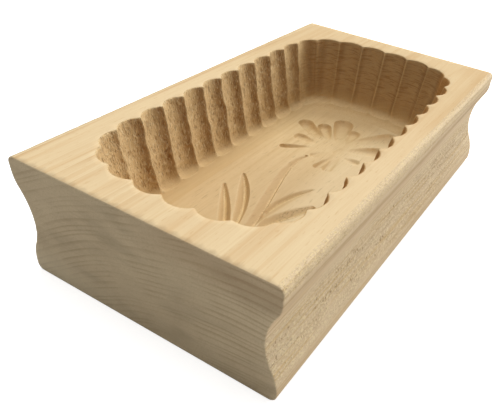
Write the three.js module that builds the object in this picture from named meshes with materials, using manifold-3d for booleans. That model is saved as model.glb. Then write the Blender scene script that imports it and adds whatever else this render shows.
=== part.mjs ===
// Wooden butter mould: one block of maple with coved sides, a fluted cavity and a flower carved in its floor.
// Lengths are in millimetres and angles in degrees. +X runs along the block, +Y across it and +Z up,
// and the origin is the centre of the face that the block rests on.
import * as THREE from "three";
import { mergeVertices } from "three/addons/utils/BufferGeometryUtils.js";
import Module from "manifold-3d";

// The block
const blockLength = 180;
const blockWidth = 100;
const blockHeight = 45;

// The long sides, from the rest face up: edge round, foot, cove, lip and edge round.
// The cove's height is that of its deepest line, and the lip stands back from the foot by its inset.
const baseEdgeRadius = 2.5;
const footRadius = 20;
const coveDepth = 5;
const coveRadius = 22;
const coveHeight = 23;
const lipInset = 0.5;
const lipRadius = 10;
const topEdgeRadius = 2.2;

// The cavity. Its walls are measured on the top face, from the flute ridges to the block's outside.
const sideWall = 12.4;
const endWall = 13;
const cavityDepth = 31;
const sideBowRadius = 1450;
const endBowRadius = 110;
const cornerRadius = 17.5;
const draftAngle = 11;
const floorFillet = 5;

// The flutes in the cavity's walls, each cut by a round tool that leans with the draft.
// The tool's lower edge is rounded, and it stops just above the floor.
const flutePitch = 11.5;
const fluteRadius = 7.7;
const fluteNoseRadius = 3.5;
const fluteEndLift = 2.1;

// Between the flutes' feet the plain wall stands this far inside the line of the ridges.
const webInset = 0.8;

// The flower's heart is a shallow round hollow, placed from the foot of the cavity's far end wall.
const heartFromEnd = 40.5;
const heartOffset = -3;
const heartCut = { width: 8, depth: 0.4 };

// Each petal is a round-ended scoop with a flat curved bottom, deep at its tip and faint at its root.
// The scoop is widest a little above the floor, so that its sides lean.
// All points of the carving are measured from the heart, +X towards the far end wall.
const petalRootDepth = 0.15;
const petalLift = 0.3;
const petals = [
  { tip: { x: 17.2, y: 27.4 }, root: { x: 5, y: 10.8 }, width: 7.4, depth: 2.4 },
  { tip: { x: 20, y: 17.4 }, root: { x: 6.8, y: 7.7 }, width: 6.6, depth: 2.2 },
  { tip: { x: 30.1, y: 10.9 }, root: { x: 8.2, y: 2.7 }, width: 9.5, depth: 2.7 },
  { tip: { x: 23.2, y: 1.3 }, root: { x: 8.3, y: -0.3 }, width: 6.2, depth: 1.7 },
  { tip: { x: 31, y: -17.5 }, root: { x: 11, y: -2.5 }, width: 9.6, depth: 2.8 },
  { tip: { x: 13.5, y: -19 }, root: { x: 3, y: -4.8 }, width: 8.4, depth: 2.7 },
  { tip: { x: -3.6, y: -13.8 }, root: { x: -4, y: -6.6 }, width: 4.6, depth: 1.4 },
  { tip: { x: -19, y: -4.8 }, root: { x: -5.5, y: -4 }, width: 4.8, depth: 1.1 },
  { tip: { x: -19.2, y: 0.1 }, root: { x: -7, y: -1.7 }, width: 3.8, depth: 1.5 },
  { tip: { x: -12, y: 6.6 }, root: { x: -5.5, y: 3.9 }, width: 3.8, depth: 0.8 },
  { tip: { x: -12.5, y: 22.4 }, root: { x: -4.5, y: 10.4 }, width: 3.8, depth: 1.8 },
  { tip: { x: 1.4, y: 22.4 }, root: { x: 0.4, y: 11.2 }, width: 6, depth: 1.4 },
];

// The stem and the leaves are V-grooves along curves.
// From its foot a groove swells to its full width at the share of its length that is named widest,
// and then narrows to the share of its width that its tip keeps.
// Its keel is set over to the right by a share of half its width, or to the left where that is below nothing.
const stem = {
  foot: { x: -84, y: -1.8 },
  footPull: { x: -70.9, y: -6.2 },
  tipPull: { x: -23.7, y: 17 },
  tip: { x: -12.5, y: 8 },
  width: 4.8,
  depth: 1.9,
  widest: 0.4,
  tipShare: 0.25,
  keelAside: 0.5,
};
const stemPit = { width: 1.2, depth: 1.2 };

// A leaf bows to its left by the given rise, or to its right where that is below nothing.
const leaves = [
  {
    foot: { x: -84, y: 0.5 },
    tip: { x: -53.4, y: 22.3 },
    bow: -0.7,
    cut: { width: 4.8, depth: 2.9, widest: 0.4, tipShare: 0.3, keelAside: 0.05 },
  },
  {
    foot: { x: -85, y: -0.8 },
    tip: { x: -42.4, y: 20.8 },
    bow: -2.7,
    cut: { width: 5, depth: 2.9, widest: 0.65, tipShare: 0.3, keelAside: 0.2 },
  },
  {
    foot: { x: -70, y: -4.2 },
    tip: { x: -34.7, y: -8.8 },
    bow: 3.2,
    cut: { width: 4.9, depth: 1.6, widest: 0.5, tipShare: 0.3, keelAside: -0.3 },
  },
  {
    foot: { x: -72, y: -4.6 },
    tip: { x: -45.5, y: -15.4 },
    bow: 1.4,
    cut: { width: 6, depth: 2.2, widest: 0.4, tipShare: 0.6, keelAside: -0.1 },
  },
];

// Fineness of the facets
const edgeSteps = 6;
const coveSteps = 20;
const sideSteps = 6;
const cornerSteps = 8;
const endSteps = 4;
const filletSteps = 5;
const fluteSides = 24;
const fluteNoseSteps = 4;
const gougeSides = 20;
const gougeNoseSteps = 5;
const heartSides = 32;
const stemSteps = 24;
const leafSteps = 12;

// How far a cutting solid reaches past the face that it cuts through
const cutOverrun = 1;

// A groove's keel starts this far above the floor, so that the groove starts from a point.
const keelStart = 0.1;

// A V-shaped cutter has this many long edges.
const vEdges = 3;

// Points closer than this are one point.
const samePlace = 0.005;

// Places that follow from the sizes above
const floorHeight = blockHeight - cavityDepth;
const ridgeHalfLength = blockLength / 2 - endWall;
const ridgeHalfWidth = blockWidth / 2 - sideWall;
const draftSlope = Math.tan(THREE.MathUtils.degToRad(draftAngle));
const quarterTurn = Math.PI / 2;
const up = new THREE.Vector3(0, 0, 1);
const heart = new THREE.Vector3(
  ridgeHalfLength - cavityDepth * draftSlope - heartFromEnd,
  heartOffset,
  floorHeight,
);

const wasm = await Module();
wasm.setup();

// The corners of the triangles that keep three different ones
function wholeTriangles(corners) {
  const whole = [];
  for (let i = 0; i < corners.length; i += 3) {
    const triangle = corners.slice(i, i + 3);
    if (new Set(triangle).size === triangle.length) {
      whole.push(...triangle);
    }
  }
  return whole;
}

// A closed three.js mesh, moved to its place, as a solid that can be joined and cut.
// Once its shared corners are merged, a round shape has triangles at its poles that shrink to a line:
// those are left out.
function toSolid(geometry, place = new THREE.Matrix4()) {
  const bare = geometry.clone();
  bare.deleteAttribute("normal");
  bare.deleteAttribute("uv");
  const merged = mergeVertices(bare).applyMatrix4(place);
  const mesh = new wasm.Mesh({
    numProp: 3,
    vertProperties: new Float32Array(merged.attributes.position.array),
    triVerts: new Uint32Array(wholeTriangles(Array.from(merged.index.array))),
  });
  return new wasm.Manifold(mesh);
}

// A geometry from a list of corner points and the triangles between them
function facetedGeometry(corners, triangles) {
  const geometry = new THREE.BufferGeometry().setFromPoints(corners);
  geometry.setIndex(triangles);
  return geometry;
}

// A solid's surface as a geometry. Where several cuts meet, a solid can hold one point more than once,
// a hair apart: those points are merged, and the triangles that shrink to a line are left out.
function toGeometry(solid) {
  const mesh = solid.getMesh();
  const points = [];
  const placeOf = [];
  for (let i = 0; i < mesh.numVert; i++) {
    const point = new THREE.Vector3().fromArray(mesh.vertProperties, i * mesh.numProp);
    const same = points.findIndex((other) => other.distanceTo(point) < samePlace);
    placeOf.push(same < 0 ? points.push(point) - 1 : same);
  }
  const corners = wholeTriangles(Array.from(mesh.triVerts, (i) => placeOf[i]));
  const geometry = facetedGeometry(points, corners);
  geometry.computeVertexNormals();
  return geometry;
}

function onCircle({ centre, radius }, angle) {
  return new THREE.Vector2(centre.x + radius * Math.cos(angle), centre.y + radius * Math.sin(angle));
}

// Points on an arc, both ends included
function arcPoints(arc) {
  const points = [];
  for (let i = 0; i <= arc.steps; i++) {
    points.push(onCircle(arc, THREE.MathUtils.lerp(arc.from, arc.to, i / arc.steps)));
  }
  return points;
}

// The points of arcs that follow each other, without the copy where one arc starts at the last one's end
function chainPoints(arcs) {
  return arcs.flatMap(arcPoints).filter((point, i, all) => i === 0 || point.distanceTo(all[i - 1]) > samePlace);
}

// The angle at which an edge round takes over from a round face. It is 0, where the face stands upright,
// unless that lies past the edge's centre: the edge then touches the face where it reaches it.
function takeoverAngle(past, faceRadius, edgeRadius) {
  return Math.asin(Math.max(0, past) / (faceRadius - edgeRadius));
}

// One long side's profile from the rest face up, as distance from the block's middle against height.
// The foot and the lip are rounds that touch the cove's circle from inside the wood,
// and each runs into its edge round.
function sideProfile() {
  const face = blockWidth / 2;
  const footReach = coveRadius + footRadius;
  const lipReach = coveRadius + lipRadius;
  const footAngle = Math.acos(1 - coveDepth / footReach);
  const lipAngle = Math.acos(1 - (coveDepth - lipInset) / lipReach);
  const foot = { x: face - footRadius, y: coveHeight - footReach * Math.sin(footAngle) };
  const cove = { x: face - coveDepth + coveRadius, y: coveHeight };
  const lip = { x: face - lipInset - lipRadius, y: coveHeight + lipReach * Math.sin(lipAngle) };
  const topEdgeHeight = blockHeight - topEdgeRadius;
  const footStart = takeoverAngle(baseEdgeRadius - foot.y, footRadius, baseEdgeRadius);
  const lipEnd = -takeoverAngle(lip.y - topEdgeHeight, lipRadius, topEdgeRadius);
  const baseEdge = { x: foot.x + (footRadius - baseEdgeRadius) * Math.cos(footStart), y: baseEdgeRadius };
  const topEdge = { x: lip.x + (lipRadius - topEdgeRadius) * Math.cos(lipEnd), y: topEdgeHeight };
  return chainPoints([
    { centre: baseEdge, radius: baseEdgeRadius, from: -quarterTurn, to: footStart, steps: edgeSteps },
    { centre: foot, radius: footRadius, from: footStart, to: footAngle, steps: edgeSteps },
    { centre: cove, radius: coveRadius, from: Math.PI + footAngle, to: Math.PI - lipAngle, steps: coveSteps },
    { centre: lip, radius: lipRadius, from: -lipAngle, to: lipEnd, steps: edgeSteps },
    { centre: topEdge, radius: topEdgeRadius, from: lipEnd, to: quarterTurn, steps: edgeSteps },
  ]);
}

// The plain block: both side profiles closed into one outline, drawn out along the length
function makeBlock() {
  const right = sideProfile();
  const left = right.map((point) => new THREE.Vector2(-point.x, point.y)).reverse();
  const outline = new THREE.Shape([...right, ...left]);
  const geometry = new THREE.ExtrudeGeometry(outline, { depth: blockLength, bevelEnabled: false });
  const across = new THREE.Vector3(0, 1, 0);
  const lengthwise = new THREE.Vector3(1, 0, 0);
  const place = new THREE.Matrix4().makeBasis(across, up, lengthwise);
  place.setPosition(-blockLength / 2, 0, 0);
  return toSolid(geometry, place);
}

// A quarter of the line that the flute ridges stand on, drawn in by an inset:
// three arcs that meet smoothly, from the middle of the side at +Y round the corner to the end at +X
function ridgeArcs(inset) {
  const side = { x: 0, y: ridgeHalfWidth - sideBowRadius };
  const end = { x: ridgeHalfLength - endBowRadius, y: 0 };
  const sideReach = sideBowRadius - cornerRadius;
  const endReach = endBowRadius - cornerRadius;
  const apart = Math.hypot(end.x - side.x, end.y - side.y);
  const alongX = (end.x - side.x) / apart;
  const alongY = (end.y - side.y) / apart;
  const along = (apart ** 2 + sideReach ** 2 - endReach ** 2) / (2 * apart);
  const aside = Math.sqrt(sideReach ** 2 - along ** 2);
  const corner = {
    x: side.x + alongX * along + alongY * aside,
    y: side.y + alongY * along - alongX * aside,
  };
  const sideStop = Math.atan2(corner.y - side.y, corner.x - side.x);
  const cornerStop = Math.atan2(corner.y - end.y, corner.x - end.x);
  return [
    { centre: side, radius: sideBowRadius - inset, from: quarterTurn, to: sideStop, steps: sideSteps },
    { centre: corner, radius: cornerRadius - inset, from: sideStop, to: cornerStop, steps: cornerSteps },
    { centre: end, radius: endBowRadius - inset, from: cornerStop, to: 0, steps: endSteps },
  ];
}

// A closed loop from a quarter that runs from the +Y side to the +X end, turned to run from +X towards +Y
function loopFromQuarter(quarter) {
  const back = [...quarter].reverse();
  const mirrored = (points, signX, signY) => points.map((p) => new THREE.Vector2(signX * p.x, signY * p.y));
  return [
    ...back.slice(1),
    ...mirrored(quarter, -1, 1).slice(1),
    ...mirrored(back, -1, -1).slice(1),
    ...mirrored(quarter, 1, -1).slice(1),
  ];
}

// The feet of the flute ridges on the top face, at equal steps along the ridge line
function ridgeLoop() {
  const arcs = ridgeArcs(0);
  const lengths = arcs.map((arc) => arc.radius * (arc.from - arc.to));
  const quarterLength = lengths.reduce((sum, length) => sum + length, 0);
  const flutes = Math.round(quarterLength / flutePitch);
  const quarter = [];
  for (let i = 0; i <= flutes; i++) {
    let distance = (quarterLength * i) / flutes;
    let k = 0;
    while (k < arcs.length - 1 && distance > lengths[k]) {
      distance -= lengths[k];
      k += 1;
    }
    quarter.push(onCircle(arcs[k], arcs[k].from - distance / arcs[k].radius));
  }
  return loopFromQuarter(quarter);
}

// The cavity without its flutes, with drafted walls and a rounded foot:
// loops stacked from above the top face down
function makeCore() {
  const filletStart = THREE.MathUtils.degToRad(draftAngle);
  const filletDepth = cavityDepth - floorFillet;
  const footDepth = filletDepth + floorFillet * Math.sin(filletStart);
  const filletInset = webInset + footDepth * draftSlope + floorFillet * Math.cos(filletStart);
  const levels = [{ depth: -cutOverrun, inset: webInset - cutOverrun * draftSlope }];
  for (let i = 0; i <= filletSteps; i++) {
    const angle = THREE.MathUtils.lerp(filletStart, quarterTurn, i / filletSteps);
    levels.push({
      depth: filletDepth + floorFillet * Math.sin(angle),
      inset: filletInset - floorFillet * Math.cos(angle),
    });
  }
  const loops = levels.map(({ inset }) => loopFromQuarter(chainPoints(ridgeArcs(inset))));
  const corners = loops.flatMap((loop, k) =>
    loop.map((point) => new THREE.Vector3(point.x, point.y, blockHeight - levels[k].depth)),
  );
  const round = loops[0].length;
  const topCentre = corners.push(new THREE.Vector3(0, 0, blockHeight + cutOverrun)) - 1;
  const floorCentre = corners.push(new THREE.Vector3(0, 0, floorHeight)) - 1;
  const lastLoop = (loops.length - 1) * round;
  const triangles = [];
  for (let j = 0; j < round; j++) {
    const next = (j + 1) % round;
    triangles.push(topCentre, j, next);
    triangles.push(floorCentre, lastLoop + next, lastLoop + j);
    for (let above = 0; above < lastLoop; above += round) {
      const below = above + round;
      triangles.push(above + j, below + j, below + next);
      triangles.push(above + j, below + next, above + next);
    }
  }
  return toSolid(facetedGeometry(corners, triangles));
}

// Where a round tool stands: its own height runs from a start to an end, and its X axis is turned to face a way.
// Its own origin lies at a share of the way from the start to the end.
function standBetween(start, end, share, facing) {
  const axis = new THREE.Vector3().subVectors(end, start);
  const along = axis.clone().normalize();
  const side = facing.clone().addScaledVector(along, -facing.dot(along)).normalize();
  const third = new THREE.Vector3().crossVectors(side, along);
  const origin = start.clone().addScaledVector(axis, share);
  return new THREE.Matrix4().makeBasis(side, along, third).setPosition(origin);
}

// A rod with ball ends whose centres are the two points, flattened by a share where it faces up
function roundedRod(start, end, radius, flatness) {
  const geometry = new THREE.CapsuleGeometry(radius, start.distanceTo(end), gougeNoseSteps, gougeSides);
  geometry.scale(flatness, 1, 1);
  return toSolid(geometry, standBetween(start, end, 1 / 2, up));
}

// A straight round tool with a flat head, its lower edge rounded
function roundNosedTool(bottom, head, facing) {
  const length = bottom.distanceTo(head);
  const edge = {
    centre: { x: fluteRadius - fluteNoseRadius, y: fluteNoseRadius },
    radius: fluteNoseRadius,
    from: -quarterTurn,
    to: 0,
    steps: fluteNoseSteps,
  };
  const outline = [
    new THREE.Vector2(0, 0),
    ...arcPoints(edge),
    new THREE.Vector2(fluteRadius, length),
    new THREE.Vector2(0, length),
  ];
  return toSolid(new THREE.LatheGeometry(outline, fluteSides), standBetween(bottom, head, 0, facing));
}

// One leaning flute for each step between two ridges, its circle passing through both on the top face
function makeFlutes() {
  const ridges = ridgeLoop();
  const lean = THREE.MathUtils.degToRad(draftAngle);
  const flatRadius = fluteRadius - fluteNoseRadius;
  const lowestBelowAxis = flatRadius * Math.sin(lean) + fluteNoseRadius * (1 - Math.cos(lean));
  const bottomHeight = floorHeight + fluteEndLift + lowestBelowAxis;
  const headHeight = blockHeight + cutOverrun + fluteRadius * Math.sin(lean);
  return ridges.map((ridge, i) => {
    const next = ridges[(i + 1) % ridges.length];
    const step = new THREE.Vector2().subVectors(next, ridge);
    const outward = new THREE.Vector2(step.y, -step.x).normalize();
    const middle = new THREE.Vector2().addVectors(ridge, next).multiplyScalar(1 / 2);
    const behindRidges = Math.sqrt(fluteRadius ** 2 - (step.length() / 2) ** 2);
    const axisAt = (height) => {
      const reach = (height - blockHeight) * draftSlope - behindRidges;
      return new THREE.Vector3(middle.x + outward.x * reach, middle.y + outward.y * reach, height);
    };
    const facing = new THREE.Vector3(outward.x, outward.y, 0);
    return roundNosedTool(axisAt(bottomHeight), axisAt(headHeight), facing);
  });
}

// The radius of a round-nosed tool that leaves a cut of this width when it sinks to this depth
function toolRadius(width, depth) {
  return ((width / 2) ** 2 + depth ** 2) / (2 * depth);
}

// A point of the carving: x and y from the heart, and its height above the floor
function onFloor(point, height) {
  return new THREE.Vector3(heart.x + point.x, heart.y + point.y, heart.z + height);
}

const flat = ({ x, y }) => new THREE.Vector2(x, y);

function makePetal({ tip, root, width, depth }) {
  const radius = width / 2;
  const setBack = radius / Math.hypot(tip.x - root.x, tip.y - root.y);
  const nose = flat(tip).lerp(flat(root), setBack);
  const start = onFloor(nose, petalLift);
  const end = onFloor(root, petalLift + depth - petalRootDepth);
  return roundedRod(start, end, radius, (petalLift + depth) / radius);
}

function makeHeart() {
  const radius = toolRadius(heartCut.width, heartCut.depth);
  const geometry = new THREE.SphereGeometry(radius, heartSides, heartSides);
  const centre = onFloor({ x: 0, y: 0 }, radius - heartCut.depth);
  return toSolid(geometry, new THREE.Matrix4().makeRotationX(quarterTurn).setPosition(centre));
}

// How deep and wide a groove is at a share of its length:
// a quarter wave up to its full width, then an easing down
function swell(t, widest, tipShare) {
  if (t < widest) {
    return Math.sin((quarterTurn * t) / widest);
  }
  const past = (t - widest) / (1 - widest);
  return THREE.MathUtils.lerp(1, tipShare, past ** 2);
}

// A V-shaped cutter along a curve on the floor: left rim, right rim and keel at each step
function makeGroove(line, { width, depth, widest, tipShare, keelAside }, steps) {
  const slope = width / 2 / depth;
  const corners = [];
  for (let i = 0; i <= steps; i++) {
    const t = i / steps;
    const centre = line.getPoint(t);
    const along = line.getTangent(t);
    const keel = depth * swell(t, widest, tipShare) - keelStart * (1 - t);
    const halfWidth = (keel + cutOverrun) * slope;
    const beside = (share, height) =>
      onFloor({ x: centre.x - along.y * halfWidth * share, y: centre.y + along.x * halfWidth * share }, height);
    corners.push(beside(1, cutOverrun), beside(-1, cutOverrun), beside(-keelAside, -keel));
  }
  const triangles = [0, 2, 1];
  for (let i = 0; i < steps; i++) {
    for (let k = 0; k < vEdges; k++) {
      const here = vEdges * i + k;
      const beside = vEdges * i + ((k + 1) % vEdges);
      triangles.push(here, beside, beside + vEdges);
      triangles.push(here, beside + vEdges, here + vEdges);
    }
  }
  const last = vEdges * steps;
  triangles.push(last + 1, last + 2, last);
  return toSolid(facetedGeometry(corners, triangles));
}

function makeStem() {
  const bends = [stem.foot, stem.footPull, stem.tipPull, stem.tip];
  return makeGroove(new THREE.CubicBezierCurve(...bends.map(flat)), stem, stemSteps);
}

// The pit is a small bore with a ball end, at the tip of the stem.
function makeStemPit() {
  const radius = stemPit.width / 2;
  const lengthwise = new THREE.Vector3(1, 0, 0);
  const geometry = new THREE.CapsuleGeometry(radius, stemPit.depth, gougeNoseSteps, gougeSides);
  const bottom = onFloor(stem.tip, radius - stemPit.depth);
  const top = onFloor(stem.tip, radius);
  return toSolid(geometry, standBetween(bottom, top, 1 / 2, lengthwise));
}

function makeLeaf({ foot, tip, bow, cut }) {
  const start = flat(foot);
  const end = flat(tip);
  const chord = new THREE.Vector2().subVectors(end, start);
  const left = new THREE.Vector2(-chord.y, chord.x).normalize();
  const pull = new THREE.Vector2().addVectors(start, end).multiplyScalar(1 / 2).addScaledVector(left, 2 * bow);
  return makeGroove(new THREE.QuadraticBezierCurve(start, pull, end), cut, leafSteps);
}

const cuts = [
  makeCore(),
  ...makeFlutes(),
  ...petals.map(makePetal),
  makeStem(),
  makeStemPit(),
  makeHeart(),
  ...leaves.map(makeLeaf),
];
const cavity = cuts.reduce((joined, cut) => joined.add(cut));
const maple = new THREE.MeshStandardMaterial({ color: 0xe2cba0, roughness: 0.6, metalness: 0 });
const mouldBlock = new THREE.Mesh(toGeometry(makeBlock().subtract(cavity)), maple);
mouldBlock.name = "mould_block";

const group = new THREE.Group();
group.add(mouldBlock);

export default group;
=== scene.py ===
"""The finished look of the wooden butter mould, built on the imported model's frame.

The block is rebuilt as one finely carved mesh in bare maple and stands on a pale floor in soft light.
Sizes are in millimetres, as on a drawing. Meshes, lights and the camera are made from them in metres.
"""

import itertools
import logging
import math
from collections.abc import Sequence
from dataclasses import dataclass, field
from enum import Enum

import bmesh
import bpy
import numpy as np
from mathutils import Matrix, Vector
from mathutils.geometry import delaunay_2d_cdt
from mathutils.kdtree import KDTree

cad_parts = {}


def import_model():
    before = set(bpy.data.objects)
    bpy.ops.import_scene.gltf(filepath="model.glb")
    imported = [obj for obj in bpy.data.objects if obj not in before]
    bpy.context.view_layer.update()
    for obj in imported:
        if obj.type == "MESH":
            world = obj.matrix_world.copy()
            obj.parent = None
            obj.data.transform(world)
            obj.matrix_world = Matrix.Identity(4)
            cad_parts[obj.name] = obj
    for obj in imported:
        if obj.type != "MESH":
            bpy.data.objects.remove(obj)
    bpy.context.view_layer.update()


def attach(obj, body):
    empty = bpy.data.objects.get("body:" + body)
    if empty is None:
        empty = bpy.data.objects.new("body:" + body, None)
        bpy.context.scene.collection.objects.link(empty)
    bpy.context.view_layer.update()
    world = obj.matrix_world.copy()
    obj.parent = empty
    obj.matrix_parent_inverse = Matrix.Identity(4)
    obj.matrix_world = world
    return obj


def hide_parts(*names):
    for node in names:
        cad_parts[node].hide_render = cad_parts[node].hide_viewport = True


Array = np.ndarray
Pair = tuple[float, float]
Triple = tuple[float, float, float]
Socket = bpy.types.NodeSocket
LOG = logging.getLogger("butter_mould")
MM = 0.001
QUARTER_TURN = math.pi / 2
WHITE = (1.0, 1.0, 1.0, 1.0)
# In millimetres: a height that stands for no cut at all, and the distances over which points are joined.
NO_CUT = 100.0
WELD_DISTANCE = 0.0002
MERGE_DISTANCE = 1e-7
# Makes Blender's triangulation keep what lies inside the outlines and drop the rest.
INSIDE_ONLY = 1
# Primes that scramble a seed and a lattice point into a chance number, and the low bits that are kept of it.
SEED_PRIME = 7919
PLACE_PRIME = 73856093
MIX_PRIME = 668265263
MIX_SHIFT = 15
LOW_BITS = 0xFFFFFFFF
# The setting that gives a step from 0 to 1 soft ends.
SMOOTH = {"interpolation_type": "SMOOTHSTEP"}


def linear_colour(code: str) -> tuple[float, float, float, float]:
    """Turns an sRGB hex colour into the linear one that a shader takes.

    Args:
        code: The colour as six hex digits.

    Returns:
        Red, green, blue and a full alpha.
    """
    # The straight start and the curve after it are the ones of the sRGB standard.
    channels = [int(code[i : i + 2], 16) / 255 for i in (0, 2, 4)]
    linear = [c / 12.92 if c <= 0.04045 else ((c + 0.055) / 1.055) ** 2.4 for c in channels]
    return (*linear, 1.0)


def blend(low: Array | float, high: Array | float, share: Array | float) -> Array:
    """The value at a share of the way from a low one to a high one."""
    return low + (high - low) * share


def eased(share: Array) -> Array:
    """A share from 0 to 1, with a soft start and end."""
    return share * share * (3 - 2 * share)


def smooth_rise(values: Array, start: float, stop: float) -> Array:
    """How far values are on the way from a start to a stop, from 0 to 1, with soft ends."""
    return eased(np.clip((values - start) / (stop - start), 0, 1))


def stacked(*coordinates: Array | float) -> Array:
    """Points from their coordinates, where a single number holds for all of them."""
    return np.stack(np.broadcast_arrays(*coordinates), axis=-1)


def raised(flat: Array, height: Array | float) -> Array:
    """Flat points, set at a height."""
    return stacked(flat[..., 0], flat[..., 1], height)


@dataclass(frozen=True)
class Noise:
    """Smooth chance values, the same in each run: how much they count, their cells' size and a seed."""

    weight: float
    cell: Triple
    seed: int

    def at(self, points: Array) -> Array:
        """Reads the noise.

        Args:
            points: The points, with their coordinates along the last axis.

        Returns:
            A value at each point, from -1 to 1 times the weight.
        """
        scaled = points / np.array(self.cell)
        low = np.floor(scaled).astype(np.int64)
        share = eased(scaled - low)
        total = np.zeros(points.shape[:-1])
        for corner in itertools.product((0, 1), repeat=points.shape[-1]):
            mixed = np.full(total.shape, self.seed * SEED_PRIME, np.int64)
            near = np.ones(total.shape)
            for axis, step in enumerate(corner):
                mixed = (mixed ^ (low[..., axis] + step)) * PLACE_PRIME & LOW_BITS
                mixed = (mixed ^ (mixed >> MIX_SHIFT)) * MIX_PRIME & LOW_BITS
                near = near * (share[..., axis] if step else 1 - share[..., axis])
            total += near * (mixed / (LOW_BITS >> 1) - 1)
        return self.weight * total


def chance(points: Array, noises: Sequence[Noise]) -> Array:
    """The sum of some noises at points."""
    return sum(noise.at(points) for noise in noises)


class Finish(Enum):
    """How a face of the block was made. The values are the mesh's material numbers."""

    PLANED = 0
    SAWN = 1
    MOULDED = 2
    FLUTED = 3
    CARVED = 4


@dataclass(frozen=True)
class Arc:
    """A stretch of a circle, from a start angle to a stop angle."""

    centre: Pair
    radius: float
    start: float
    stop: float

    @property
    def length(self) -> float:
        """The length along the arc."""
        return self.radius * abs(self.stop - self.start)

    def sample(self, shares: Array) -> tuple[Array, Array]:
        """Reads the arc.

        Args:
            shares: How far along the arc, from 0 to 1.

        Returns:
            The points, and the directions away from the circle's centre.
        """
        angles = blend(self.start, self.stop, shares)
        away = stacked(np.cos(angles), np.sin(angles))
        return np.array(self.centre) + self.radius * away, away


@dataclass
class Patch:
    """A part of the block's surface: points, the faces between them, and how it was made."""

    points: Array
    faces: Array
    finish: Finish


def grid_faces(rows: int, columns: int, closed: bool = False) -> Array:
    """The four-sided faces of a grid of points that is stored row by row.

    Args:
        rows: How many rows of points there are.
        columns: How many points a row has.
        closed: Whether each row runs back to its own first point.

    Returns:
        Four point numbers for each face.
    """
    numbers = np.arange(rows * columns).reshape(rows, columns)
    if closed:
        numbers = np.column_stack([numbers, numbers[:, 0]])
    corners = (numbers[:-1, :-1], numbers[:-1, 1:], numbers[1:, 1:], numbers[1:, :-1])
    return np.stack(corners, axis=-1).reshape(-1, 4)


def inside_loop(points: Array, loop: Array) -> Array:
    """Tells which flat points lie inside a closed loop.

    Args:
        points: The points.
        loop: The loop's corners in order.

    Returns:
        True for each point inside.
    """
    inside = np.zeros(len(points), bool)
    for here, after in zip(loop, np.roll(loop, -1, axis=0)):
        if here[1] != after[1]:
            crosses = (here[1] > points[:, 1]) != (after[1] > points[:, 1])
            at = here[0] + (points[:, 1] - here[1]) / (after[1] - here[1]) * (after[0] - here[0])
            inside ^= crosses & (points[:, 0] < at)
    return inside


def distances_to(points: Array, others: Array) -> Array:
    """Measures how far flat points lie from the nearest of some others.

    Args:
        points: The points.
        others: The points that the distance is measured to.

    Returns:
        A distance for each point.
    """
    tree = KDTree(len(others))
    for number, (x, y) in enumerate(others):
        tree.insert((x, y, 0), number)
    tree.balance()
    return np.array([tree.find((x, y, 0))[2] for x, y in points])


def far_from(points: Array, others: Array, gap: float) -> Array:
    """The flat points that lie at least a gap away from all of some others."""
    return points[distances_to(points, others) >= gap]


def thinned(points: Array, gap: float) -> Array:
    """Drops flat points that lie closer than about a gap to one before them.

    Args:
        points: The points, the most wanted first.
        gap: The least distance that two kept points may have.

    Returns:
        The points that are kept.
    """
    kept: list[Array] = []
    cells: dict[tuple[int, int], list[Array]] = {}
    for point in points:
        column, row = (int(v) for v in np.floor(point / gap))
        near = [
            other
            for dx, dy in itertools.product((-1, 0, 1), repeat=2)
            for other in cells.get((column + dx, row + dy), [])
        ]
        if all(np.hypot(*(point - other)) >= gap for other in near):
            kept.append(point)
            cells.setdefault((column, row), []).append(point)
    return np.array(kept).reshape(-1, 2)


def hexagon_grid(low: Array, high: Array, step: float) -> Array:
    """Flat points in rows that are set over by half a step, from half a step inside a box.

    Args:
        low: The box's lower corner.
        high: The box's upper corner.
        step: The distance from each point to its neighbours.

    Returns:
        The points.
    """
    row_step = step * math.sin(math.pi / 3)
    rows = []
    for number, y in enumerate(np.arange(low[1] + step / 2, high[1], row_step)):
        x = np.arange(low[0] + step / 2 * (1 + number % 2), high[0], step)
        rows.append(stacked(x, y))
    return np.concatenate(rows)


def fill_region(
    loops: Sequence[Array], step: float, gap: float, creases: Array | None = None
) -> tuple[Array, Array]:
    """Fills a flat region with triangles.

    Args:
        loops: The region's outline and then its holes, as closed loops of flat points.
        step: The distance between the points that are set inside it.
        gap: How far they stay from the loops and the creases.
        creases: Other points that the triangles also use. Those outside the region are left out.

    Returns:
        The points, the loops' own first, and three point numbers for each triangle.
    """
    inner = hexagon_grid(loops[0].min(axis=0), loops[0].max(axis=0), step)
    if creases is not None:
        inner = np.concatenate([creases, far_from(inner, creases, gap)])
    borders = np.concatenate(loops)
    inside = inside_loop(inner, loops[0])
    for hole in loops[1:]:
        inside &= ~inside_loop(inner, hole)
    points = np.concatenate([borders, far_from(inner[inside], borders, gap)])
    outlines = []
    for loop in loops:
        first = sum(len(outline) for outline in outlines)
        outlines.append(list(range(first, first + len(loop))))
    corners = [Vector(point) for point in points]
    found = delaunay_2d_cdt(corners, [], outlines, INSIDE_ONLY, MERGE_DISTANCE)
    _, _, triangles, sources, _, regions = found
    owners = [numbers[0] for numbers in sources]
    kept = [face for face, region in zip(triangles, regions) if list(region) == [0]]
    return points, np.array([[owners[n] for n in face] for face in kept])


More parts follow.
